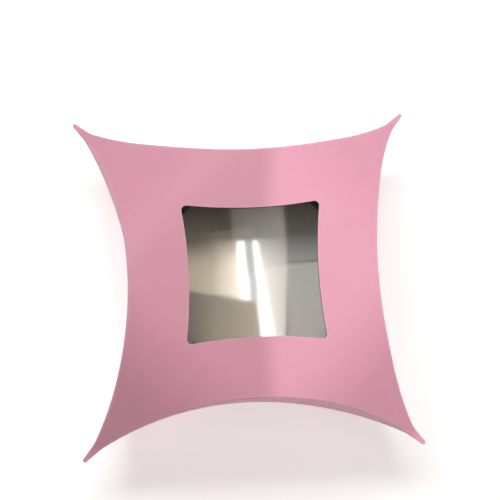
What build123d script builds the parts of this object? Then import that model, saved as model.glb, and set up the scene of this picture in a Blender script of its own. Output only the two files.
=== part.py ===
from build123d import *
from math import acos, atan2, cos, degrees, sin, sqrt, tan
import os

# A square pillow favor box of thin card, lying on its back with its window up.
# The front and back panels are flat in the middle and roll down at the four corners,
# where their tips meet half way up. Curved walls close the sides along curved creases.
# X runs to the right and Y to the top of the box as it is looked at, and Z = 0 is the back face.

# Driving sizes of the folded box
tip_span = 120.0
waist_span = 83.8
box_depth = 60.0
card_thickness = 0.5
crease_land = 0.6

# Narrow pinched tip at each corner
tip_width = 2.0
tip_length = 2.2
tip_bend_radius = 9.0
tip_gap = 0.1

# Window, its clear film and the glue that holds the film
window_span = 47.0
window_side_bow = 1.8
window_corner_radius = 1.6
film_thickness = 0.2
film_margin = 6.5
film_corner_radius = 2.0
glue_thickness = 0.1
window_glue_width = 5.0
window_glue_edge = 0.8

# Walls and the strips that glue two of them to the back panel
wall_tip_gap = 3.0
wall_mitre_gap = 0.15
glue_flap_width = 10.0
glue_flap_mitre = 5.0
glue_flap_end_cut = 16.5
glue_line_edge = 1.5

# Flaps that close the lower side
outer_flap_gap = 0.6
flap_end_gap = 0.8
flap_spacing = 0.3
inner_flap_gap = 1.2
inner_flap_height = 34.0
inner_flap_end_inset = 12.0
inner_flap_taper = 19.0
inner_flap_corner_radius = 8.0

# Clearances of pieces that lie against each other, and the overrun of cuts
seam_gap = 0.05
overrun = 5.0

# Shape of the creases and of the rolled corners, as shares of the sizes above
crease_handle_share = 0.425
roll_radius_share = 0.8

# Places that follow from the driving sizes
half_tip = tip_span / 2
half_waist = waist_span / 2
half_depth = box_depth / 2
tip_reach = half_tip * sqrt(2)
flat_reach = half_waist / sqrt(2) + crease_land
tip_level = card_thickness + tip_gap / 2

# The corner's outer line: flat, rolled down, straight, and bent back flat at the tip
roll_run = tip_reach - tip_length - flat_reach
roll_drop = half_depth - tip_level
bend_sum = roll_radius_share * (roll_run ** 2 + roll_drop ** 2) / (2 * roll_drop)
roll_radius = bend_sum - tip_bend_radius
slope_run = sqrt(roll_run ** 2 + (roll_drop - bend_sum) ** 2 - bend_sum ** 2)
roll_angle = atan2(roll_drop - bend_sum, roll_run) + atan2(bend_sum, slope_run)
tip_start = tip_reach - tip_length
bend_level = tip_level + tip_bend_radius
wall_reach = tip_start - wall_tip_gap

# Control points of the crease between two tips
crease_handle = crease_handle_share * half_tip
crease_control = half_tip - (half_tip - half_waist) * 4 / 3
crease_slope = atan2(half_tip - crease_control, half_tip - crease_handle)

# Insets of the layers from a panel's outer face
window_glue_top = card_thickness + seam_gap
film_top = window_glue_top + glue_thickness + seam_gap
film_bottom = film_top + film_thickness
strip_glue_bottom = card_thickness + seam_gap
strip_bottom = strip_glue_bottom + glue_thickness + seam_gap
strip_top = strip_bottom + card_thickness
wall_edge = card_thickness + seam_gap

middle = Plane.XY.offset(half_depth)
diagonals = (
    Plane(origin=(0, 0, half_depth), x_dir=(1, 1, 0), z_dir=(1, -1, 0)),
    Plane(origin=(0, 0, half_depth), x_dir=(1, -1, 0), z_dir=(-1, -1, 0)),
)
top_turn = 0
left_turn = 90
bottom_turn = 180
right_turn = 270


# Rolled layers

def draw_slope_line(inset, up, end_level):
    """Draw half of a panel's section from its middle down the slope, inset from its outer face.

    Up is 1 for the front panel and -1 for the back panel. The end level is the height above the
    middle plane where the slope stops, and the end point and its direction are returned.
    """
    flat_end = (flat_reach, up * (half_depth - inset))
    roll = roll_radius - inset
    roll_end_reach = flat_reach + roll * sin(roll_angle)
    roll_end_level = half_depth - roll_radius + roll * cos(roll_angle)
    roll_end = (roll_end_reach, up * roll_end_level)
    slope_end = (roll_end_reach + (roll_end_level - end_level) / tan(roll_angle), up * end_level)
    Line((0, up * (half_depth - inset)), flat_end)
    TangentArc(flat_end, roll_end, tangent=(1, 0))
    Line(roll_end, slope_end)
    return slope_end, (cos(roll_angle), -up * sin(roll_angle))


def draw_tip_line(inset, up):
    """Draw half of a panel's section all the way out, past the tip that is bent back flat."""
    tip_bend = tip_bend_radius + inset
    slope_end, slope = draw_slope_line(inset, up, bend_level - tip_bend * cos(roll_angle))
    level = up * (tip_level - inset)
    TangentArc(slope_end, (tip_start, level), tangent=slope)
    Line((tip_start, level), (tip_reach + overrun, level))
    return tip_reach + overrun, level


def draw_closing_line(inset, up):
    """Draw half of a section out to where it meets the other panel's, part way along the tip's bend."""
    tip_bend = tip_bend_radius + inset
    slope_end, slope = draw_slope_line(inset, up, bend_level - tip_bend * cos(roll_angle))
    closing_angle = acos((bend_level - tip_gap / 2) / tip_bend)
    closing_end = (tip_start - tip_bend * sin(closing_angle), up * tip_gap / 2)
    TangentArc(slope_end, closing_end, tangent=slope)
    return closing_end


def panel_layer(inset, far_inset, up):
    """Build a layer along both diagonals that runs out to the tips: a panel, or what lies under it."""
    with BuildPart() as layer:
        for diagonal in diagonals:
            with BuildSketch(diagonal):
                with BuildLine():
                    end = draw_tip_line(inset, up)
                    far_end = draw_tip_line(far_inset, up)
                    Line(end, far_end)
                    mirror(about=Plane.YZ)
                make_face()
            extrude(amount=flat_reach, both=True)
    return layer.part


def wall_room(inset):
    """Build the space between the panels, inset from their outer faces and ending where they close."""
    with BuildPart() as room:
        for diagonal in diagonals:
            with BuildSketch(diagonal):
                with BuildLine():
                    Line(draw_closing_line(inset, 1), draw_closing_line(inset, -1))
                    mirror(about=Plane.YZ)
                make_face()
            extrude(amount=flat_reach, both=True)
    return room.part


# Plan outlines

def crease_points(inset):
    """Control points of the upper crease, moved inwards by inset, from the left tip to the right tip."""
    end_x = half_tip + inset * sin(crease_slope)
    end_y = half_tip - inset * cos(crease_slope)
    handle_x = crease_handle + inset * tan(crease_slope / 2)
    handle_y = crease_control - inset
    return Vector(-end_x, end_y), Vector(-handle_x, handle_y), Vector(handle_x, handle_y), Vector(end_x, end_y)


def panel_outline():
    """Draw a panel in plan: four curved sides and a narrow round-ended tip at each corner."""
    with BuildSketch() as outline:
        with BuildLine():
            for turn in (top_turn, left_turn, bottom_turn, right_turn):
                Bezier(*[point.rotate(Axis.Z, turn) for point in crease_points(0)])
        make_face()
        for angle in (45, 135):
            SlotOverall(2 * tip_reach, tip_width, rotation=angle)
    return outline.sketch


def side_band(inset, far_inset, mitre, reach):
    """Draw a band along the upper crease, mitred at the diagonals and ending at the given reach."""
    outer = crease_points(inset)
    inner = crease_points(far_inset)
    with BuildSketch() as band:
        with BuildLine():
            Bezier(*outer)
            Bezier(*inner)
            Line(outer[0], inner[0])
            Line(outer[-1], inner[-1])
        make_face()
        with BuildLine():
            Polyline((0, mitre), (tip_span, tip_span + mitre), (-tip_span, tip_span + mitre), close=True)
        make_face(mode=Mode.INTERSECT)
        Rectangle(2 * reach, 2 * reach, rotation=45, mode=Mode.INTERSECT)
    return band.sketch


def window_outline(margin):
    """Draw the window with its sides bowed in, or a band's edge at a margin around it."""
    half = window_span / 2 + margin
    corners = ((-half, half), (-half, -half), (half, -half), (half, half))
    with BuildSketch() as outline:
        with BuildLine():
            for start, end in zip(corners, corners[1:] + corners[:1]):
                SagittaArc(start, end, window_side_bow)
        make_face()
        fillet(outline.vertices(), window_corner_radius)
    return outline.sketch


# Panels

with BuildPart() as front_panel:
    add(panel_layer(0, card_thickness, 1))
    with BuildSketch(middle):
        add(panel_outline())
    extrude(amount=half_depth, both=True, mode=Mode.INTERSECT)
    with BuildSketch(middle):
        add(window_outline(0))
    extrude(amount=half_depth + overrun, mode=Mode.SUBTRACT)
front_panel.part.label = "front_panel"

with BuildPart() as back_panel:
    add(panel_layer(0, card_thickness, -1))
    with BuildSketch(middle):
        add(panel_outline())
    extrude(amount=half_depth, both=True, mode=Mode.INTERSECT)
back_panel.part.label = "back_panel"


# Walls, each creased to the front panel

def build_wall(turn, label):
    """Build the curved wall of one side."""
    with BuildPart() as wall:
        add(wall_room(wall_edge))
        with BuildSketch(middle):
            add(side_band(0, card_thickness, wall_mitre_gap, wall_reach), rotation=turn)
        extrude(amount=half_depth, both=True, mode=Mode.INTERSECT)
    wall.part.label = label
    return wall


top_wall = build_wall(top_turn, "top_wall")
left_wall = build_wall(left_turn, "left_wall")
right_wall = build_wall(right_turn, "right_wall")


# Strips folded in from the side walls, and the glue under them

def build_glue_flap(turn, label):
    """Build the strip that a side wall is glued to the back panel with."""
    start = card_thickness + seam_gap
    reach = wall_reach - glue_flap_end_cut
    with BuildPart() as glue_flap:
        add(panel_layer(strip_bottom, strip_top, -1))
        with BuildSketch(middle):
            add(side_band(start, start + glue_flap_width, glue_flap_mitre, reach), rotation=turn)
        extrude(amount=half_depth, both=True, mode=Mode.INTERSECT)
    glue_flap.part.label = label
    return glue_flap


def build_glue_line(turn, label):
    """Build the layer of glue under a strip, set back from the strip's edges."""
    start = card_thickness + seam_gap + glue_line_edge
    end = card_thickness + seam_gap + glue_flap_width - glue_line_edge
    reach = wall_reach - glue_flap_end_cut - glue_line_edge
    with BuildPart() as glue_line:
        add(panel_layer(strip_glue_bottom, strip_glue_bottom + glue_thickness, -1))
        with BuildSketch(middle):
            add(side_band(start, end, glue_flap_mitre + glue_line_edge, reach), rotation=turn)
        extrude(amount=half_depth, both=True, mode=Mode.INTERSECT)
    glue_line.part.label = label
    return glue_line


left_glue_flap = build_glue_flap(left_turn, "left_glue_flap")
right_glue_flap = build_glue_flap(right_turn, "right_glue_flap")
left_glue_line = build_glue_line(left_turn, "left_glue_line")
right_glue_line = build_glue_line(right_turn, "right_glue_line")


# Window film under the front panel, and the band of glue around the window

with BuildPart() as window_film:
    add(panel_layer(film_top, film_bottom, 1))
    with BuildSketch(middle):
        film_span = window_span + 2 * film_margin
        RectangleRounded(film_span, film_span, film_corner_radius)
    extrude(amount=half_depth, both=True, mode=Mode.INTERSECT)
window_film.part.label = "window_film"

with BuildPart() as window_glue:
    add(panel_layer(window_glue_top, window_glue_top + glue_thickness, 1))
    with BuildSketch(middle):
        band_span = window_span + 2 * (window_glue_edge + window_glue_width)
        RectangleRounded(band_span, band_span, film_corner_radius)
        add(window_outline(window_glue_edge), mode=Mode.SUBTRACT)
    extrude(amount=half_depth, both=True, mode=Mode.INTERSECT)
window_glue.part.label = "window_glue"


# Outer flap of the lower side, creased to the front panel

with BuildPart() as outer_flap:
    add(wall_room(card_thickness + outer_flap_gap))
    with BuildSketch(middle):
        add(side_band(0, card_thickness, wall_mitre_gap, wall_reach - flap_end_gap), rotation=bottom_turn)
    extrude(amount=half_depth, both=True, mode=Mode.INTERSECT)
outer_flap.part.label = "outer_flap"


# Inner flap of the lower side, creased to the back panel, shorter and tucked behind the outer one

with BuildPart() as inner_flap:
    add(wall_room(card_thickness + inner_flap_gap))
    with BuildSketch(middle):
        flap_face = card_thickness + flap_spacing
        add(side_band(flap_face, flap_face + card_thickness, wall_mitre_gap, wall_reach), rotation=bottom_turn)
    extrude(amount=half_depth, both=True, mode=Mode.INTERSECT)
    with BuildSketch(Plane.XZ) as free_edge:
        with BuildLine():
            base_half = half_tip - inner_flap_end_inset
            top_half = base_half - inner_flap_taper
            Polyline((-base_half, 0), (-top_half, inner_flap_height), (top_half, inner_flap_height),
                     (base_half, 0), close=True)
        make_face()
        fillet(free_edge.vertices().group_by(Axis.Z)[-1], inner_flap_corner_radius)
    extrude(amount=half_tip + overrun, mode=Mode.INTERSECT)
inner_flap.part.label = "inner_flap"


# Write each piece

os.makedirs("parts", exist_ok=True)
pieces = (
    front_panel, back_panel, top_wall, left_wall, right_wall,
    left_glue_flap, right_glue_flap, left_glue_line, right_glue_line,
    window_film, window_glue, outer_flap, inner_flap,
)
for piece in pieces:
    export_step(piece.part, "parts/" + piece.part.label + ".step")

print("roll radius", round(roll_radius, 2), "corner slope", round(degrees(roll_angle), 2))
print("hinges at y", -half_waist, "and", round(-half_waist + card_thickness + flap_spacing, 3))
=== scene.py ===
"""Dress the favor box: pink pearl card with a grey board inside, a clear window and two flaps that open."""

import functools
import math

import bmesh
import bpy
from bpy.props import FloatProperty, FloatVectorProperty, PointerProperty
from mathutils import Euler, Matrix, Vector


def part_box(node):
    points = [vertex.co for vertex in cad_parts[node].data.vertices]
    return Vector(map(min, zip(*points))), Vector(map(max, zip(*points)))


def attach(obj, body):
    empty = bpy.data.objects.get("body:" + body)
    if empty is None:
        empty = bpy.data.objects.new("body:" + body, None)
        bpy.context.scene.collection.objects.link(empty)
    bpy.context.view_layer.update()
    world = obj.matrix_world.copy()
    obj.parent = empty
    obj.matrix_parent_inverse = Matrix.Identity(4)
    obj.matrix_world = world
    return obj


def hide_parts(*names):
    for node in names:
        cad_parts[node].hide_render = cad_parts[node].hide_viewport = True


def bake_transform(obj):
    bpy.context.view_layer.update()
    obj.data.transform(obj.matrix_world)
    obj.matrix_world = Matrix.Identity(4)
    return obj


bl_info = {
    "name": "Favor Box",
    "version": (1, 0, 0),
    "blender": (4, 5, 0),
    "location": "View3D > Sidebar > Favor Box",
    "description": "Square pillow favor box of folded card with a clear window",
    "category": "Object",
}

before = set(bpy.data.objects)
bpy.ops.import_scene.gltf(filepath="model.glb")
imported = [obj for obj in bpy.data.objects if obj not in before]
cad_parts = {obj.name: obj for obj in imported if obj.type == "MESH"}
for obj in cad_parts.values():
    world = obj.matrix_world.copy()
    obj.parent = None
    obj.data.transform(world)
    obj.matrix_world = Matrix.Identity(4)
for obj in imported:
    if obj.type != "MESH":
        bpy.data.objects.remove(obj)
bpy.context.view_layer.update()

MM = 0.001
FRONT, BACK = 1, -1
# Quarter turns that bring the upper side to the top, right, lower and left side
SIDE_TURNS = {"top": 0.0, "right": -math.pi / 2, "lower": math.pi, "left": math.pi / 2}

BOX_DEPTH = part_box("front_panel")[1][2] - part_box("back_panel")[0][2]
HALF_DEPTH = BOX_DEPTH / 2


def linear(hex_colour):
    """Turn an sRGB hex colour into linear red, green, blue and alpha."""
    channels = [int(hex_colour[i:i + 2], 16) / 255 for i in (1, 3, 5)]
    return tuple(c / 12.92 if c <= 0.04045 else ((c + 0.055) / 1.055) ** 2.4 for c in channels) + (1.0,)


def length(name, description, millimetres):
    """Make a length property with its default given in millimetres."""
    return FloatProperty(name=name, description=description, default=millimetres * MM, min=0.0, unit="LENGTH")


def colour(name, description, hex_colour):
    """Make a colour property with its default given as an sRGB hex value."""
    return FloatVectorProperty(name=name, description=description, default=linear(hex_colour)[:3],
                               size=3, min=0.0, max=1.0, subtype="COLOR")


class FavorBoxSizes(bpy.types.PropertyGroup):
    """Sizes of the folded card and the window"""
    tip_span: length("Span over the tips", "Distance between two neighbouring tips", 120.0)
    waist_span: length("Waist", "Width across the middle of two facing sides", 83.8)
    card: length("Card thickness", "Thickness of the card", 0.5)
    crease_land: length("Crease land", "How far the flat middle runs past the middle of a side", 0.6)
    tip_width: length("Tip width", "Width of the pinched tip", 2.0)
    tip_length: length("Tip length", "Length of the pinched flat tip", 2.2)
    tip_bend: length("Tip bend", "Radius where the corner bends back flat", 9.0)
    tip_gap: length("Tip gap", "Gap between the front and back tips", 0.1)
    fold: length("Fold radius", "Outer radius of a folded crease", 0.6)
    lip: length("Fold lip", "Straight lip below the fold", 0.4)
    window_span: length("Window", "Width of the window between its corners", 47.0)
    window_bow: length("Window bow", "How far the sides of the window curve in", 1.8)
    window_corner: length("Window corner", "Radius of the window's corners", 1.6)
    flap_gap: length("Flap gap", "Gap between the outer flap and the back panel", 0.6)
    flap_end_gap: length("Flap end gap", "Gap at the ends of the outer flap", 0.8)
    flap_spacing: length("Flap spacing", "Gap between the outer and inner flaps", 0.3)
    flap_height: length("Inner flap height", "Height of the inner flap's free edge", 34.0)
    flap_inset: length("Inner flap inset", "How far the inner flap's ends stay from the tips", 12.0)
    flap_taper: length("Inner flap taper", "How much the inner flap narrows on each side", 19.0)
    flap_corner: length("Inner flap corner", "Radius of the inner flap's corners", 8.0)
    crease_handle_share: FloatProperty(
        name="Crease fullness", default=0.425, min=0.1, max=0.9,
        description="How flat a crease is in its middle, as a share of half the span over the tips")
    roll_share: FloatProperty(
        name="Corner roll", default=0.8, min=0.3, max=0.95,
        description="Radius of the rolled corner, as a share of the largest that fits")


class FavorBoxColours(bpy.types.PropertyGroup):
    """Colours of the card, the board and the floor"""
    pearl: colour("Pearl card", "Outside of the card", "#DE9BAE")
    board: colour("Board", "Unprinted inside of the card", "#928272")
    core: colour("Cut edge", "Pale core at the cut edges", "#EBDAD6")
    floor: colour("Floor", "Plain pale floor", "#F4F3F1")


def sizes():
    """The box's size properties."""
    return bpy.context.scene.favor_box_sizes


def colours():
    """The box's colour properties."""
    return bpy.context.scene.favor_box_colours


# Shape of the rolled panels

# A tip's round end as a share of the tip's width, and how fast the tip widens behind it
TIP_END_SHARE, TIP_WIDENING = 0.75, 0.12
# The step along a crease that gives its direction, and the largest inset as a share of the corner's half width
CREASE_STEP, INSET_SHARE = 2e-5, 0.85
# The part of a window's side that its corner's arc takes
WINDOW_CORNER_SHARE = 0.08
# A pinched fold's radius as a share of the full one, and the room, in fold radii, that a full fold needs
PINCHED_FOLD_SHARE, FULL_FOLD_ROOM = 0.35, 4


def tip_face_level():
    """Height of a flat tip's outer face above the middle plane."""
    return sizes().card + sizes().tip_gap / 2


def roll_numbers():
    """Work out the corner's section: its flat part's reach, the roll's radius and turn, and the tip's reach."""
    s = sizes()
    flat = s.waist_span / 2 / math.sqrt(2) + s.crease_land
    tip_reach = s.tip_span / math.sqrt(2)
    run = tip_reach - s.tip_length - flat
    drop = HALF_DEPTH - tip_face_level()
    bends = s.roll_share * (run ** 2 + drop ** 2) / (2 * drop)
    slope_run = math.sqrt(run ** 2 + (drop - bends) ** 2 - bends ** 2)
    angle = math.atan2(drop - bends, run) + math.atan2(bends, slope_run)
    return flat, bends - s.tip_bend, angle, tip_reach


def panel_height(x, y, inset):
    """Height above the middle plane of a panel's face, inset from its outer face, at a place in plan."""
    s = sizes()
    flat, radius, angle, tip_reach = roll_numbers()
    tip_level = tip_face_level()
    reach = (abs(x) + abs(y)) / math.sqrt(2)
    tip_start = tip_reach - s.tip_length
    roll, bend = radius - inset, s.tip_bend + inset
    roll_end = flat + roll * math.sin(angle)
    slope_end = tip_start - bend * math.sin(angle)
    if reach <= flat:
        return HALF_DEPTH - inset
    if reach <= roll_end:
        return HALF_DEPTH - radius + math.sqrt(roll ** 2 - (reach - flat) ** 2)
    if reach <= slope_end:
        return HALF_DEPTH - radius + roll * math.cos(angle) - (reach - roll_end) * math.tan(angle)
    if reach <= tip_start:
        return tip_level + s.tip_bend - math.sqrt(bend ** 2 - (tip_start - reach) ** 2)
    return tip_level - inset


def tip_half_width(past):
    """Half width of the tip at a distance from its end: a small round end that widens slowly."""
    end_radius = sizes().tip_width * TIP_END_SHARE / 2
    if past < end_radius:
        return math.sqrt(max(0.0, past * (2 * end_radius - past)))
    return end_radius + TIP_WIDENING * (past - end_radius)


def crease_outline(t):
    """A place in plan on the upper crease, from left tip (0) to right tip (1), and the corner's half width."""
    s = sizes()
    half = s.tip_span / 2
    handle = s.crease_handle_share * half
    control = half - (half - s.waist_span / 2) * 4 / 3
    weights = ((1 - t) ** 3, 3 * t * (1 - t) ** 2, 3 * t ** 2 * (1 - t), t ** 3)
    x = sum(w * p for w, p in zip(weights, (-half, -handle, handle, half)))
    y = sum(w * p for w, p in zip(weights, (half, control, control, half)))
    side = 1 if t > 0.5 else -1
    along, across = (y + side * x) / math.sqrt(2), (y - side * x) / math.sqrt(2)
    across = max(across, tip_half_width(s.tip_span / math.sqrt(2) - along))
    return Vector((side * (along - across), along + across)) / math.sqrt(2), across


@functools.lru_cache(maxsize=None)
def crease_step(t):
    """A place on the upper crease, the direction inwards from it, and the largest inset that fits there.

    They are kept for each t, and an operator forgets them before it starts, because a size may have changed.
    """
    place, across = crease_outline(t)
    ahead = crease_outline(t + CREASE_STEP)[0] if t + CREASE_STEP <= 1 else place
    behind = crease_outline(t - CREASE_STEP)[0] if t - CREASE_STEP >= 0 else place
    run = (ahead - behind).normalized()
    inwards = Vector((run.y, -run.x))
    if t <= 0 or t >= 1:
        inwards = Vector((1.0 if t <= 0 else -1.0, -1.0)) / math.sqrt(2)
    room = INSET_SHARE * max(across, sizes().tip_width * TIP_END_SHARE / 2)
    return place, inwards, room


def crease_place(t, inset, turn):
    """A place in plan on a side's crease, from its left tip (0) to its right tip (1), moved inwards."""
    place, inwards, room = crease_step(t)
    return (place + inwards * min(inset, room)) @ Matrix.Rotation(-turn, 2)


def window_place(t, turn):
    """A place in plan on the window's edge, from a side's left corner (0) to its right corner (1)."""
    s = sizes()
    half, bow, corner = s.window_span / 2, s.window_bow, s.window_corner
    radius = (half ** 2 + bow ** 2) / (2 * bow)
    centre = half - bow + radius
    corner_centre = (centre - math.sqrt(2 * (radius + corner) ** 2 - centre ** 2)) / 2
    lean = math.atan2(corner_centre, centre - corner_centre)
    mirrored = t > 0.5
    t = 1 - t if mirrored else t
    if t < WINDOW_CORNER_SHARE:
        angle = math.pi / 4 - (math.pi / 4 + lean) * t / WINDOW_CORNER_SHARE
        place = Vector((-corner_centre - corner * math.sin(angle), corner_centre + corner * math.cos(angle)))
    else:
        angle = lean * (0.5 - t) / (0.5 - WINDOW_CORNER_SHARE)
        place = Vector((-radius * math.sin(angle), centre - radius * math.cos(angle)))
    if mirrored:
        place.x = -place.x
    return place @ Matrix.Rotation(-turn, 2)


def fold_radius(edge):
    """Outer radius of the fold at a place on the crease, smaller where the tips are pinched."""
    fold = sizes().fold
    free = (panel_height(edge.x, edge.y, 0.0) - tip_face_level()) / (FULL_FOLD_ROOM * fold)
    return fold * (PINCHED_FOLD_SHARE + (1 - PINCHED_FOLD_SHARE) * min(1.0, max(0.0, free)))


def lip_level(edge):
    """Height above the middle plane of the lip's edge, under the fold at a place on the crease."""
    drop = fold_radius(edge) * (1 + sizes().lip / sizes().fold)
    return panel_height(edge.x, edge.y, 0.0) - drop


# Mesh helpers

# Verts nearer than this are one
WELD = 0.001 * MM


def following(verts, closed):
    """The vert after each vert of a line, and after its last one the first where the line is closed."""
    return verts[1:] + verts[:1] if closed else verts[1:]


def line_edges(bm, verts, closed):
    """The edges along a line of verts."""
    return [bm.edges.get(pair) for pair in zip(verts, following(verts, closed))]


def start_line(bm, places, closed):
    """Start a mesh with a line of edges through places, closed into a loop or open."""
    verts = [bm.verts.new(place) for place in places]
    for pair in zip(verts, following(verts, closed)):
        bm.edges.new(pair)
    return verts


def grow_line(bm, verts, places, slot, closed):
    """Extrude a line of verts to new places and give the new faces a material slot."""
    edges = line_edges(bm, verts, closed)
    made = bmesh.ops.extrude_edge_only(bm, edges=edges)["geom"]
    fresh = {v for v in made if isinstance(v, bmesh.types.BMVert)}
    grown = []
    for vert, place in zip(verts, places):
        new = next(e.other_vert(vert) for e in vert.link_edges if e.other_vert(vert) in fresh)
        new.co = place
        grown.append(new)
    for face in made:
        if isinstance(face, bmesh.types.BMFace):
            face.material_index = slot
            face.smooth = True
    return grown


def close_line(bm, verts, first, closed):
    """Join a piece's last line to its first one with the card's cut edge."""
    last = grow_line(bm, verts, [v.co.copy() for v in first], CUT, closed)
    bmesh.ops.remove_doubles(bm, verts=first + last, dist=WELD)


def finish_mesh(bm, name, slots, outwards=None):
    """Turn the faces outwards, mark each change of material and each open edge as sharp, and make an object.

    An open sheet names the direction that its outer side faces.
    """
    bmesh.ops.recalc_face_normals(bm, faces=bm.faces)
    if outwards and sum((face.normal for face in bm.faces), Vector()).dot(outwards) < 0:
        bmesh.ops.reverse_faces(bm, faces=bm.faces)
    for edge in bm.edges:
        edge.smooth = len({face.material_index for face in edge.link_faces}) == 1 and not edge.is_boundary
    mesh = bpy.data.meshes.new(name)
    bm.to_mesh(mesh)
    bm.free()
    piece = bpy.data.objects.new(name, mesh)
    bpy.context.collection.objects.link(piece)
    for material in slots:
        mesh.materials.append(material)
    return piece


# Materials

def add_node(tree, kind, settings=(), inputs=(), links=()):
    """Add a node with its settings, socket values and links from other nodes' outputs."""
    node = tree.nodes.new(kind)
    for key, value in dict(settings).items():
        setattr(node, key, value)
    for key, value in dict(inputs).items():
        node.inputs[key].default_value = value
    for key, output in dict(links).items():
        tree.links.new(output, node.inputs[key])
    return node


def new_material(name):
    """Start a material with an empty node tree."""
    material = bpy.data.materials.new(name)
    material.use_nodes = True
    material.node_tree.nodes.clear()
    return material, material.node_tree


def toned(shade, factor=1.0):
    """A colour with full alpha, made darker or paler by a factor."""
    return tuple(min(1.0, c * factor) for c in shade) + (1.0,)


def pearl_card_material():
    """Pink pearl card, coated and calendered: a soft satin shine, faint mottling and paler worn folds."""
    pearl = colours().pearl
    material, tree = new_material("pearl_card")
    place = add_node(tree, "ShaderNodeTexCoord").outputs["Object"]
    mottle = add_node(tree, "ShaderNodeTexNoise", inputs={"Scale": 1 / (6 * MM), "Detail": 3.0},
                      links={"Vector": place})
    # Paper fibres are about 0.03 mm wide, too fine to show, so they are drawn 0.5 mm wide
    fibres = add_node(tree, "ShaderNodeTexNoise", inputs={"Scale": 1 / (0.5 * MM), "Detail": 2.0},
                      links={"Vector": place})
    tone = add_node(tree, "ShaderNodeMix", {"data_type": "RGBA"}, {"A": toned(pearl, 0.93), "B": toned(pearl)},
                    {"Factor": mottle.outputs["Fac"]})
    # The coating rubs paler along the folds, which the meshes mark with the attribute crease
    crease = add_node(tree, "ShaderNodeAttribute", {"attribute_name": "crease"})
    wear = add_node(tree, "ShaderNodeMath", {"operation": "MULTIPLY"},
                    links={0: crease.outputs["Fac"], 1: mottle.outputs["Fac"]})
    worn = tuple(c + (1 - c) * 0.15 for c in pearl) + (1.0,)
    face = add_node(tree, "ShaderNodeMix", {"data_type": "RGBA"}, {"B": worn},
                    {"Factor": wear.outputs[0], "A": tone.outputs["Result"]})
    gloss = add_node(tree, "ShaderNodeMapRange", inputs={"To Min": 0.46, "To Max": 0.58},
                     links={"Value": mottle.outputs["Fac"]})
    bump = add_node(tree, "ShaderNodeBump", inputs={"Strength": 0.12, "Distance": 0.03 * MM},
                    links={"Height": fibres.outputs["Fac"]})
    shader = add_node(tree, "ShaderNodeBsdfPrincipled",
                      inputs={"IOR": 1.48, "Specular IOR Level": 0.3, "Sheen Weight": 0.05,
                              "Sheen Roughness": 0.4},
                      links={"Base Color": face.outputs["Result"], "Roughness": gloss.outputs["Result"],
                             "Normal": bump.outputs["Normal"]})
    add_node(tree, "ShaderNodeOutputMaterial", links={"Surface": shader.outputs["BSDF"]})
    return material


def grey_board_material():
    """Unprinted grey board, pressed from waste paper: matt, with soft clouds and short pale and dark fibres."""
    board = colours().board
    material, tree = new_material("grey_board")
    place = add_node(tree, "ShaderNodeTexCoord").outputs["Object"]
    clouds = add_node(tree, "ShaderNodeTexNoise", inputs={"Scale": 1 / (9 * MM), "Detail": 3.0},
                      links={"Vector": place})
    # Fibres lie along the board's grain. Real ones are about 0.03 mm wide, and these 0.5 mm, so that they show.
    stretch = add_node(tree, "ShaderNodeMapping", inputs={"Scale": (1.0, 0.25, 1.0)}, links={"Vector": place})
    fibres = add_node(tree, "ShaderNodeTexNoise",
                      inputs={"Scale": 1 / (0.5 * MM), "Detail": 4.0, "Roughness": 0.65},
                      links={"Vector": stretch.outputs["Vector"]})
    cloud = add_node(tree, "ShaderNodeMix", {"data_type": "RGBA"},
                     {"A": toned(board, 0.8), "B": toned(board, 1.18)}, {"Factor": clouds.outputs["Fac"]})
    fibre = add_node(tree, "ShaderNodeMapRange", inputs={"From Min": 0.35, "From Max": 0.7},
                     links={"Value": fibres.outputs["Fac"]})
    face = add_node(tree, "ShaderNodeMix", {"data_type": "RGBA", "blend_type": "SOFT_LIGHT"}, {"Factor": 0.2},
                    {"A": cloud.outputs["Result"], "B": fibre.outputs["Result"]})
    bump = add_node(tree, "ShaderNodeBump", inputs={"Strength": 0.25, "Distance": 0.04 * MM},
                    links={"Height": fibres.outputs["Fac"]})
    shader = add_node(tree, "ShaderNodeBsdfPrincipled", inputs={"Roughness": 0.88, "IOR": 1.45},
                      links={"Base Color": face.outputs["Result"], "Normal": bump.outputs["Normal"]})
    add_node(tree, "ShaderNodeOutputMaterial", links={"Surface": shader.outputs["BSDF"]})
    return material


def card_core_material():
    """Die-cut edge of the card: its pale pressed core, matt, with faint layers."""
    core = colours().core
    material, tree = new_material("card_core")
    place = add_node(tree, "ShaderNodeTexCoord").outputs["Object"]
    layers = add_node(tree, "ShaderNodeTexNoise", inputs={"Scale": 1 / (0.3 * MM), "Detail": 1.0},
                      links={"Vector": place})
    face = add_node(tree, "ShaderNodeMix", {"data_type": "RGBA"}, {"A": toned(core, 0.82), "B": toned(core)},
                    {"Factor": layers.outputs["Fac"]})
    shader = add_node(tree, "ShaderNodeBsdfPrincipled", inputs={"Roughness": 0.85, "IOR": 1.45},
                      links={"Base Color": face.outputs["Result"]})
    add_node(tree, "ShaderNodeOutputMaterial", links={"Surface": shader.outputs["BSDF"]})
    return material


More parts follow.
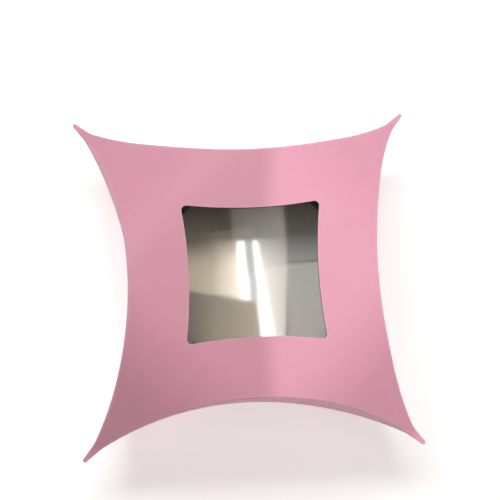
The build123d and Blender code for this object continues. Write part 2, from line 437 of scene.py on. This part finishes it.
def clear_film_material():
    """Clear PVC window film: see-through, with the mirror-like shine of a calendered sheet."""
    material, tree = new_material("clear_pvc_film")
    place = add_node(tree, "ShaderNodeTexCoord").outputs["Object"]
    haze = add_node(tree, "ShaderNodeTexNoise", inputs={"Scale": 1 / (12 * MM), "Detail": 3.0},
                    links={"Vector": place})
    gloss = add_node(tree, "ShaderNodeMapRange", inputs={"To Min": 0.02, "To Max": 0.045},
                     links={"Value": haze.outputs["Fac"]})
    mirror = add_node(tree, "ShaderNodeBsdfPrincipled",
                      inputs={"Base Color": (1.0, 1.0, 1.0, 1.0), "Metallic": 1.0},
                      links={"Roughness": gloss.outputs["Result"]})
    clear = add_node(tree, "ShaderNodeBsdfTransparent", inputs={"Color": (0.94, 0.94, 0.93, 1.0)})
    # An index above that of PVC, 1.54, gives the strong shine of the photograph
    share = add_node(tree, "ShaderNodeFresnel", inputs={"IOR": 1.7})
    surface = add_node(tree, "ShaderNodeMixShader",
                       links={0: share.outputs["Fac"], 1: clear.outputs["BSDF"], 2: mirror.outputs["BSDF"]})
    add_node(tree, "ShaderNodeOutputMaterial", links={"Surface": surface.outputs["Shader"]})
    return material


def dried_glue_material():
    """Dried white glue: milky, half clear, with a soft uneven shine."""
    material, tree = new_material("dried_glue")
    place = add_node(tree, "ShaderNodeTexCoord").outputs["Object"]
    ripple = add_node(tree, "ShaderNodeTexNoise", inputs={"Scale": 1 / (2 * MM), "Detail": 3.0},
                      links={"Vector": place})
    gloss = add_node(tree, "ShaderNodeMapRange", inputs={"To Min": 0.3, "To Max": 0.55},
                     links={"Value": ripple.outputs["Fac"]})
    bump = add_node(tree, "ShaderNodeBump", inputs={"Strength": 0.3, "Distance": 0.05 * MM},
                    links={"Height": ripple.outputs["Fac"]})
    shader = add_node(tree, "ShaderNodeBsdfPrincipled",
                      inputs={"Base Color": linear("#D9D2C4"), "Alpha": 0.6, "IOR": 1.47},
                      links={"Roughness": gloss.outputs["Result"], "Normal": bump.outputs["Normal"]})
    add_node(tree, "ShaderNodeOutputMaterial", links={"Surface": shader.outputs["BSDF"]})
    return material


def pale_floor_material():
    """Plain pale painted floor, matt. It glows a little, so that it stays near the photograph's white."""
    floor = colours().floor
    material, tree = new_material("pale_floor")
    place = add_node(tree, "ShaderNodeTexCoord").outputs["Object"]
    cloud = add_node(tree, "ShaderNodeTexNoise", inputs={"Scale": 1 / (300 * MM), "Detail": 3.0},
                     links={"Vector": place})
    face = add_node(tree, "ShaderNodeMix", {"data_type": "RGBA"}, {"A": toned(floor, 0.985), "B": toned(floor)},
                    {"Factor": cloud.outputs["Fac"]})
    shader = add_node(tree, "ShaderNodeBsdfPrincipled",
                      inputs={"Roughness": 0.9, "Emission Color": toned(floor), "Emission Strength": 0.5},
                      links={"Base Color": face.outputs["Result"]})
    add_node(tree, "ShaderNodeOutputMaterial", links={"Surface": shader.outputs["BSDF"]})
    return material


MATERIAL_MAKERS = {
    "pearl_card": pearl_card_material,
    "grey_board": grey_board_material,
    "card_core": card_core_material,
    "clear_pvc_film": clear_film_material,
    "dried_glue": dried_glue_material,
    "pale_floor": pale_floor_material,
}
CARD_SLOTS = ("pearl_card", "grey_board", "card_core")
OUTSIDE, INSIDE, CUT = 0, 1, 2


def find_material(name):
    """Find a material by name, or make it the first time that it is asked for."""
    return bpy.data.materials.get(name) or MATERIAL_MAKERS[name]()


def card_materials():
    """The card's three faces: pearl outside, grey board inside and pale core at its cut edges."""
    return [find_material(name) for name in CARD_SLOTS]


# Card pieces

# Steps along each side, and round a fold's quarter turn
SIDE_STEPS, FOLD_STEPS = 96, 5
# A panel's rows crowd towards its crease by this power
ROW_POWER = 1.25
# How far inside the crease a panel's inner face ends, in card thicknesses
INNER_FACE_INSET = 1.1
# Half size of the flat patch in the middle of the back panel, as a share of the waist
PATCH_SHARE = 1 / 8
# Gap between a wall's edge and the lip that it meets
SEAM = 0.02 * MM
# How far along a crease a wall may start, as a share of the crease, and how often that range is halved
WALL_START_LIMIT, HALVINGS = 0.2, 40
# Height of the inner flap at its ends
FLAP_END_HEIGHT = 0.4 * MM


def ease(share):
    """Spread even steps so that they crowd at both ends of a side."""
    return 0.5 - 0.5 * math.cos(math.pi * share)


def loop_places(place_at):
    """Places all round the box from one function of side position and turn."""
    places = []
    for turn in SIDE_TURNS.values():
        for step in range(SIDE_STEPS):
            share = step / SIDE_STEPS
            places.append(place_at(ease(share), share, turn))
    return places


def ring_places(share, inset_at, depth_inset, up, inner_place):
    """One ring of a panel's face: between its inner edge (share 0) and its crease (share 1)."""
    def place_at(t, inner_t, turn):
        edge = crease_place(t, 0.0, turn)
        plan = inner_place(inner_t, turn).lerp(crease_place(t, inset_at(edge), turn), share)
        return Vector((plan.x, plan.y, HALF_DEPTH + up * panel_height(plan.x, plan.y, depth_inset)))
    return loop_places(place_at)


def fold_ring(angle, up):
    """One ring of the fold round a panel's crease, at an angle down from its face."""
    def place_at(t, inner_t, turn):
        radius = fold_radius(crease_place(t, 0.0, turn))
        plan = crease_place(t, radius * (1 - math.sin(angle)), turn)
        level = panel_height(plan.x, plan.y, 0.0) - radius * (1 - math.cos(angle))
        return Vector((plan.x, plan.y, HALF_DEPTH + up * level))
    return loop_places(place_at)


def lip_ring(inset, up):
    """One ring along the edge of the lip under the fold."""
    def place_at(t, inner_t, turn):
        plan = crease_place(t, inset, turn)
        return Vector((plan.x, plan.y, HALF_DEPTH + up * lip_level(crease_place(t, 0.0, turn))))
    return loop_places(place_at)


def panel_rings(up, inner_place, rows):
    """List the rings of a folded panel, over its outer face, round the fold and back over its inner face."""
    card = sizes().card
    shares = [1 - (1 - row / rows) ** ROW_POWER for row in range(rows + 1)]
    rings = [(ring_places(share, fold_radius, 0.0, up, inner_place), OUTSIDE) for share in shares]
    for step in range(1, FOLD_STEPS + 1):
        rings.append((fold_ring(math.pi / 2 * step / FOLD_STEPS, up), OUTSIDE))
    rings.append((lip_ring(0.0, up), OUTSIDE))
    rings.append((lip_ring(card, up), CUT))
    for share in reversed(shares):
        rings.append((ring_places(share, lambda edge: INNER_FACE_INSET * card, card, up, inner_place), INSIDE))
    return rings


def small_square(t, turn):
    """The edge of the flat middle patch of a panel without a window."""
    half = sizes().waist_span * PATCH_SHARE
    return Vector(((2 * t - 1) * half, half)) @ Matrix.Rotation(-turn, 2)


def build_panel(name, up, inner_place, rows, windowed):
    """Build a folded panel as one closed card, with its window's cut edge or a flat patch in the middle."""
    bm = bmesh.new()
    rings = panel_rings(up, inner_place, rows)
    creases = bm.verts.layers.float.new("crease")
    first = start_line(bm, rings[0][0], closed=True)
    verts = first
    for number, (places, slot) in enumerate(rings[1:], start=1):
        verts = grow_line(bm, verts, places, slot, closed=True)
        # The card wears paler over its fold, from the last ring of its face to the lip's edge
        if rows <= number <= rows + FOLD_STEPS + 1:
            for vert in verts:
                vert[creases] = 1.0
    if windowed:
        close_line(bm, verts, first, closed=True)
    else:
        for ring, slot in ((first, OUTSIDE), (verts, INSIDE)):
            for face in bmesh.ops.edgeloop_fill(bm, edges=line_edges(bm, ring, closed=True))["faces"]:
                face.material_index = slot
                face.smooth = True
    return finish_mesh(bm, name, card_materials())


def first_position(limit, clears):
    """Find the first position along a crease, from its tip up to a limit, where a test holds."""
    low, high = 0.0, limit
    for _ in range(HALVINGS):
        middle = (low + high) / 2
        if clears(middle):
            high = middle
        else:
            low = middle
    return high


def wall_start(gap=0.0):
    """Position along a crease, from its tip, where the wall between the two lips begins."""
    return first_position(WALL_START_LIMIT, lambda t: lip_level(crease_place(t, 0.0, 0.0)) > SEAM + gap)


def wall_band(t, turn, share, inset, back_gap):
    """A place on a wall: share runs from its front edge (0) to its back edge (1)."""
    plan = crease_place(t, inset, turn)
    reach = max(0.0, lip_level(crease_place(t, 0.0, turn)))
    front = HALF_DEPTH + max(0.0, reach - SEAM)
    back = HALF_DEPTH - max(0.0, reach - back_gap)
    return Vector((plan.x, plan.y, front + (back - front) * share))


def wall_positions(start):
    """Positions along a crease for a wall or a flap, from its start to the same distance from the other tip."""
    return [start + (1 - 2 * start) * ease(step / SIDE_STEPS) for step in range(SIDE_STEPS + 1)]


def build_wall(name, turn, rows):
    """Build the curved wall of a side as one closed card."""
    card = sizes().card
    span = wall_positions(wall_start())
    shares = [row / rows for row in range(rows + 1)]

    def places(share, inset):
        return [wall_band(t, turn, share, inset, SEAM) for t in span]
    bm = bmesh.new()
    first = start_line(bm, places(0.0, 0.0), closed=False)
    line = first
    for share in shares[1:]:
        line = grow_line(bm, line, places(share, 0.0), OUTSIDE, closed=False)
    line = grow_line(bm, line, places(1.0, card), CUT, closed=False)
    for share in reversed(shares[:-1]):
        line = grow_line(bm, line, places(share, card), INSIDE, closed=False)
    close_line(bm, line, first, closed=False)
    ends = [e for e in bm.edges if e.is_boundary]
    for face in bmesh.ops.holes_fill(bm, edges=ends, sides=0)["faces"]:
        face.material_index = OUTSIDE
    return finish_mesh(bm, name, card_materials())


def build_flap(name, place_at, start, rows):
    """Build a flap of the lower side as one curved sheet. Its thickness is added last, by a modifier."""
    bm = bmesh.new()
    span = wall_positions(start)
    line = start_line(bm, [place_at(t, 0.0) for t in span], closed=False)
    for row in range(1, rows + 1):
        line = grow_line(bm, line, [place_at(t, row / rows) for t in span], OUTSIDE, closed=False)
    piece = finish_mesh(bm, name, card_materials(), outwards=Vector((0.0, -1.0, 0.0)))
    solid = piece.modifiers.new("card", "SOLIDIFY")
    solid.thickness = sizes().card
    solid.offset = -1.0
    solid.material_offset = INSIDE
    solid.material_offset_rim = CUT
    return piece


def flap_top(x):
    """Height of the inner flap's free edge at a place across the box: level, rounded, then tapering."""
    s = sizes()
    base = s.tip_span / 2 - s.flap_inset
    top = base - s.flap_taper
    lean = math.atan2(s.flap_height, s.flap_taper)
    flat_end = top - s.flap_corner * math.tan(lean / 2)
    arc_end = flat_end + s.flap_corner * math.sin(lean)
    x = abs(x)
    if x <= flat_end:
        return s.flap_height
    if x <= arc_end:
        return s.flap_height - s.flap_corner + math.sqrt(s.flap_corner ** 2 - (x - flat_end) ** 2)
    return max(0.0, (base - x) * s.flap_height / s.flap_taper)


def outer_flap_place(t, share):
    """A place on the outer flap: share runs from its crease on the front panel (0) to its free edge (1)."""
    return wall_band(t, SIDE_TURNS["lower"], share, 0.0, sizes().flap_gap)


def inner_flap_place(t, share):
    """A place on the inner flap: share runs from its crease on the back panel (0) to its free edge (1)."""
    s = sizes()
    edge = crease_place(t, 0.0, SIDE_TURNS["lower"])
    plan = crease_place(t, s.card + s.flap_spacing, SIDE_TURNS["lower"])
    crease = HALF_DEPTH - panel_height(edge.x, edge.y, 0.0) + s.card + SEAM
    return Vector((plan.x, plan.y, crease + max(0.0, flap_top(plan.x) - crease) * share))


def inner_flap_start():
    """Position along the lower crease, from its tip, where the inner flap's taper meets its crease."""
    def clears(t):
        place = inner_flap_place(t, 0.0)
        return flap_top(place.x) - place.z > FLAP_END_HEIGHT
    return first_position(0.5, clears)


# Where a flap's bend would start and end, in millimetres from the plane that a flap's curved crease lies in.
# The flaps operator works out these places but doesn't bend the flaps.
OUTER_BEND_START, OUTER_BEND_END = 3.2, 15.5
INNER_BEND_START, INNER_BEND_END = 3.0, 14.0
# For each millimetre along the line square to that plane, its run into the box and its fall towards the middle
BEND_RUN, BEND_FALL = 0.857, 0.514


def bend_place(up, along):
    """A place on the line square to a lower crease's plane, at a distance in millimetres."""
    middle = crease_place(0.5, 0.0, SIDE_TURNS["lower"])
    level = HALF_DEPTH - BEND_FALL * along * MM
    return Vector((0.0, middle.y + BEND_RUN * along * MM, HALF_DEPTH + up * level))


# The pieces

class FAVORBOX_OT_front(bpy.types.Operator):
    """Fold the front panel with its window"""
    bl_idname = "favor_box.front"
    bl_label = "Front Panel"

    def execute(self, context):
        crease_step.cache_clear()
        piece = build_panel("front_card", FRONT, window_place, rows=44, windowed=True)
        stand_for(piece, "front_panel")
        return {"FINISHED"}


class FAVORBOX_OT_back(bpy.types.Operator):
    """Fold the back panel"""
    bl_idname = "favor_box.back"
    bl_label = "Back Panel"

    def execute(self, context):
        crease_step.cache_clear()
        piece = build_panel("back_card", BACK, small_square, rows=48, windowed=False)
        stand_for(piece, "back_panel")
        return {"FINISHED"}


class FAVORBOX_OT_walls(bpy.types.Operator):
    """Build the curved walls of the top and the two glued sides"""
    bl_idname = "favor_box.walls"
    bl_label = "Side Walls"

    def execute(self, context):
        crease_step.cache_clear()
        for side in ("top", "left", "right"):
            piece = build_wall(side + "_side", SIDE_TURNS[side], rows=14)
            stand_for(piece, side + "_wall")
        return {"FINISHED"}


class FAVORBOX_OT_strips(bpy.types.Operator):
    """Finish the strips folded in from the sides and the glue lines under them"""
    bl_idname = "favor_box.strips"
    bl_label = "Glue Strips"

    def execute(self, context):
        for side in ("left", "right"):
            dress(side + "_glue_flap", "grey_board")
            dress(side + "_glue_line", "dried_glue")
        return {"FINISHED"}


class FAVORBOX_OT_window(bpy.types.Operator):
    """Finish the clear film behind the window and the glue around it"""
    bl_idname = "favor_box.window"
    bl_label = "Window Film"

    def execute(self, context):
        dress("window_film", "clear_pvc_film")
        dress("window_glue", "dried_glue")
        return {"FINISHED"}


class FAVORBOX_OT_flaps(bpy.types.Operator):
    """Build the outer and inner flaps of the side that opens"""
    bl_idname = "favor_box.flaps"
    bl_label = "Closing Flaps"

    def execute(self, context):
        crease_step.cache_clear()
        outer = build_flap("outer_card_flap", outer_flap_place, wall_start(sizes().flap_end_gap), rows=18)
        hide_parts("outer_flap")
        bend_place(FRONT, OUTER_BEND_START)
        bend_place(FRONT, OUTER_BEND_END)
        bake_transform(outer)
        inner = build_flap("inner_card_flap", inner_flap_place, inner_flap_start(), rows=16)
        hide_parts("inner_flap")
        bend_place(BACK, INNER_BEND_START)
        bend_place(BACK, INNER_BEND_END)
        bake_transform(inner)
        return {"FINISHED"}


def stand_for(piece, node):
    """Let a piece of card stand for a solid of the model and stay with the box."""
    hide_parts(node)
    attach(piece, "box")


def dress(node, name):
    """Give a solid of the model a material in place of its plain one."""
    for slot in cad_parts[node].material_slots:
        slot.material = find_material(name)


# The stage, whose places and sizes are in millimetres and powers in watts

# The camera looks down on the window, from the lower left, as in the photograph
CAMERA_PLACE = Vector((-32.7, -50.0, 442.7)) * MM
CAMERA_TURN = (8.51, -4.69, -2.30)
CAMERA_LENS = 83.9
CAMERA_CLIP = 10 * MM

# Half the floor's side, and how far its face lies below the box
FLOOR_HALF, FLOOR_DROP = 3000, 0.05

# Each soft light overhead: name, place, width, height and power
LIGHTS = (
    ("top_softbox", (-10, 215, 480), 200, 120, 0.88),
    ("top_left_softbox", (-180, 220, 480), 140, 140, 0.88),
    ("lower_right_softbox", (320, -170, 440), 140, 140, 0.40),
)
LIGHT_AIM = (0, 0, 30)

# The studio's pale walls glow brighter than its ceiling, which starts at this share of straight up
WORLD_TINT = "#F7F5F4"
WORLD_HORIZON, WORLD_OVERHEAD, WORLD_CEILING_START = 0.6, 0.08, 0.5

# A spot that shines straight down: its place, the reach of its circle of light, its power, radius and softness.
# The circle's hard left edge falls down the middle of the box, as in the photograph.
SPOT_PLACE = (452.6, -23.9, 1500)
SPOT_REACH = 450
SPOT_POWER = 26.3
SPOT_RADIUS, SPOT_SOFTNESS = 4, 0.01

# Bright panes overhead, as the film mirrors them: corners on the window, from the lower left round, the
# strength at each corner, and the colour. Later ones hang in front of earlier ones.
PANES = (
    ("ceiling", ((-31, 8), (31, 8), (31, 26), (-31, 26)), (1.25, 1.2, 0.2, 0.1), "#E8DDCB"),
    ("low_left_wall", ((-31, -60), (1, -60), (1, -9), (-31, -4)), (0.4, 2.6, 3.4, 0.8), "#E8DDCB"),
    ("left_end_wall", ((-60, -60), (-31, -60), (-31, -10), (-60, -10)), (1.2, 1.2, 1.2, 1.2), "#E8DDCB"),
    ("warm_wall", ((-31, -4), (-14, -7.4), (-14, 3), (-31, 3)), (2.6, 4.8, 4.2, 2.8), "#F3E3CB"),
    ("warm_wall_top", ((-31, 3), (-14, 3), (-14, 11), (-31, 9)), (2.8, 4.2, 1.0, 0.9), "#F3E3CB"),
    ("lit_wall", ((-14, -7.4), (-3.5, -9.6), (-4, 3), (-14, 3)), (5.2, 10.6, 10.4, 4.2), "#F2E5D2"),
    ("lit_wall_top", ((-14, 3), (-4, 3), (-5, 10.5), (-14, 11)), (4.2, 10.0, 2.6, 1.0), "#F2E5D2"),
    ("pale_wall", ((8.5, -60), (60, -60), (60, 2.4), (10.5, 1.8)), (2.5, 1.6, 3.4, 4.2), "#E9E6E0"),
    ("pale_wall_top", ((10.5, 2.1), (31, 2.7), (31, 12), (10.5, 12)), (2.9, 3.0, 0.6, 0.9), "#E9E6E0"),
    ("bright_wall", ((1, -31), (8.2, -31), (10.4, 1), (-1, 1)), (9.0, 4.8, 5.8, 9.0), "#FAF3EC"),
    ("bright_wall_top", ((-1, 1), (10.4, 1), (10.6, 10), (-0.5, 10)), (8.6, 4.6, 2.6, 4.2), "#FAF3EC"),
    ("dim_wall", ((-7, 10), (10.4, 10), (9.7, 31), (-8, 31)), (2.0, 3.1, 0.4, 0.1), "#EFE6DC"),
    ("window_post", ((-3.5, -10.5), (1, -10.5), (-0.3, 9.5), (-4.5, 9.5)), (4.5, 4.5, 4.0, 4.0), "#F6F6F6"),
    ("left_pane", ((-6, -9.8), (-2.5, -10.1), (-3.8, 9.1), (-6.1, 9.1)), (11.0, 14.0, 14.0, 10.0), "#FFFFFF"),
    ("right_pane", ((0.9, -26), (5.2, -26), (0.8, 9), (-0.9, 9)), (13.0, 12.0, 11.0, 13.0), "#FFFEFA"),
)
# The panes' height, the step down to each next one, and the cuts that spread the strengths over a pane
PANE_HEIGHT, PANE_STEP, PANE_CUTS = 1500, 3, 7
# A place on the window mirrors a place overhead this many times as far out, moved by this much
PANE_SPREAD, PANE_SHIFT_X, PANE_SHIFT_Y = 4.75, 124, 188


class FAVORBOX_OT_stage(bpy.types.Operator):
    """Lay the floor and place the lights and the camera"""
    bl_idname = "favor_box.stage"
    bl_label = "Stage"

    def execute(self, context):
        floor = add_floor()
        for number, (name, corners, strengths, tint) in enumerate(PANES):
            add_pane(name, corners, PANE_HEIGHT - PANE_STEP * number, strengths, tint)
        for light in LIGHTS:
            add_softbox(*light)
        add_spot(floor)
        light_studio()
        # The default view washes out the pink
        context.scene.view_settings.view_transform = "Standard"
        add_camera()
        return {"FINISHED"}


def add_floor():
    """Lay the plain pale floor that the box rests on."""
    bm = bmesh.new()
    bmesh.ops.create_grid(bm, x_segments=1, y_segments=1, size=FLOOR_HALF * MM)
    bmesh.ops.translate(bm, verts=bm.verts, vec=(0.0, 0.0, -FLOOR_DROP * MM))
    floor = finish_mesh(bm, "floor", [find_material("pale_floor")])
    return floor


def add_pane(name, corners, height, strengths, tint):
    """Hang a glowing pane overhead, face down, with a strength at each corner."""
    bm = bmesh.new()
    power = bm.verts.layers.float.new("power")
    verts = []
    for (x, y), strength in zip(corners, strengths):
        place = Vector((PANE_SPREAD * x + PANE_SHIFT_X, PANE_SPREAD * y + PANE_SHIFT_Y, height))
        vert = bm.verts.new(place * MM)
        vert[power] = strength
        verts.append(vert)
    face = bm.faces.new(verts)
    if face.normal.z > 0:
        face.normal_flip()
    bmesh.ops.subdivide_edges(bm, edges=bm.edges, cuts=PANE_CUTS, use_grid_fill=True)
    mesh = bpy.data.meshes.new(name)
    bm.to_mesh(mesh)
    bm.free()
    mesh.materials.append(glow_material(name, tint))
    pane = bpy.data.objects.new(name, mesh)
    bpy.context.collection.objects.link(pane)


def glow_material(name, tint):
    """A glowing pane whose strength is spread by the corners' values."""
    material, tree = new_material(name)
    power = add_node(tree, "ShaderNodeAttribute", {"attribute_name": "power"})
    source = add_node(tree, "ShaderNodeEmission", inputs={"Color": linear(tint)},
                      links={"Strength": power.outputs["Fac"]})
    add_node(tree, "ShaderNodeOutputMaterial", links={"Surface": source.outputs["Emission"]})
    return material


def add_softbox(name, place, width, height, power):
    """Add a soft rectangular light that faces the middle of the box."""
    data = bpy.data.lights.new(name, "AREA")
    data.shape = "RECTANGLE"
    data.size, data.size_y = width * MM, height * MM
    data.energy = power
    light = bpy.data.objects.new(name, data)
    light.location = Vector(place) * MM
    direction = (Vector(LIGHT_AIM) - Vector(place)).normalized()
    light.rotation_euler = direction.to_track_quat("-Z", "Y").to_euler()
    bpy.context.collection.objects.link(light)


def add_spot(floor):
    """Add the spot with the hard-edged circle of light, which falls on the box but not on the floor."""
    data = bpy.data.lights.new("edge_spot", "SPOT")
    data.energy = SPOT_POWER
    data.shadow_soft_size = SPOT_RADIUS * MM
    data.spot_size = 2 * math.atan(SPOT_REACH / (SPOT_PLACE[2] - BOX_DEPTH / MM))
    data.spot_blend = SPOT_SOFTNESS
    light = bpy.data.objects.new("edge_spot", data)
    light.location = Vector(SPOT_PLACE) * MM
    bpy.context.collection.objects.link(light)
    unlit = bpy.data.collections.new("out_of_the_spot")
    unlit.objects.link(floor)
    unlit.collection_objects[0].light_linking.link_state = "EXCLUDE"
    light.light_linking.receiver_collection = unlit


def light_studio():
    """Give the studio its even light all round, brighter from the walls than from the ceiling."""
    world = bpy.data.worlds.new("studio")
    world.use_nodes = True
    tree = world.node_tree
    direction = add_node(tree, "ShaderNodeTexCoord").outputs["Generated"]
    level = add_node(tree, "ShaderNodeSeparateXYZ", links={"Vector": direction})
    glow = add_node(tree, "ShaderNodeMapRange",
                    inputs={"From Max": WORLD_CEILING_START, "To Min": WORLD_HORIZON, "To Max": WORLD_OVERHEAD},
                    links={"Value": level.outputs["Z"]})
    background = tree.nodes["Background"]
    background.inputs["Color"].default_value = linear(WORLD_TINT)
    tree.links.new(glow.outputs["Result"], background.inputs["Strength"])
    bpy.context.scene.world = world


def add_camera():
    """Place the camera."""
    data = bpy.data.cameras.new("camera")
    data.lens = CAMERA_LENS
    data.clip_start = CAMERA_CLIP
    camera = bpy.data.objects.new("camera", data)
    camera.location = CAMERA_PLACE
    camera.rotation_mode = "ZYX"
    camera.rotation_euler = Euler([math.radians(a) for a in CAMERA_TURN], "ZYX")
    bpy.context.collection.objects.link(camera)
    bpy.context.scene.camera = camera


class FAVORBOX_PT_panel(bpy.types.Panel):
    """Lists the sizes, the colours and the pieces"""
    bl_idname = "FAVORBOX_PT_panel"
    bl_label = "Favor Box"
    bl_space_type = "VIEW_3D"
    bl_region_type = "UI"
    bl_category = "Favor Box"

    def draw(self, context):
        for group in (sizes(), colours()):
            for name in group.bl_rna.properties.keys():
                if name not in ("rna_type", "name"):
                    self.layout.prop(group, name)
        for operator in OPERATORS:
            self.layout.operator(operator.bl_idname)


OPERATORS = (
    FAVORBOX_OT_front,
    FAVORBOX_OT_back,
    FAVORBOX_OT_walls,
    FAVORBOX_OT_strips,
    FAVORBOX_OT_window,
    FAVORBOX_OT_flaps,
    FAVORBOX_OT_stage,
)
CLASSES = (FavorBoxSizes, FavorBoxColours) + OPERATORS + (FAVORBOX_PT_panel,)


def register():
    for cls in CLASSES:
        bpy.utils.register_class(cls)
    bpy.types.Scene.favor_box_sizes = PointerProperty(type=FavorBoxSizes)
    bpy.types.Scene.favor_box_colours = PointerProperty(type=FavorBoxColours)


def unregister():
    del bpy.types.Scene.favor_box_colours
    del bpy.types.Scene.favor_box_sizes
    for cls in reversed(CLASSES):
        bpy.utils.unregister_class(cls)


def main():
    """Register the add-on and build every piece."""
    register()
    bpy.ops.favor_box.front()
    bpy.ops.favor_box.back()
    bpy.ops.favor_box.walls()
    bpy.ops.favor_box.strips()
    bpy.ops.favor_box.window()
    bpy.ops.favor_box.flaps()
    bpy.ops.favor_box.stage()


if __name__ == "__main__":
    main()
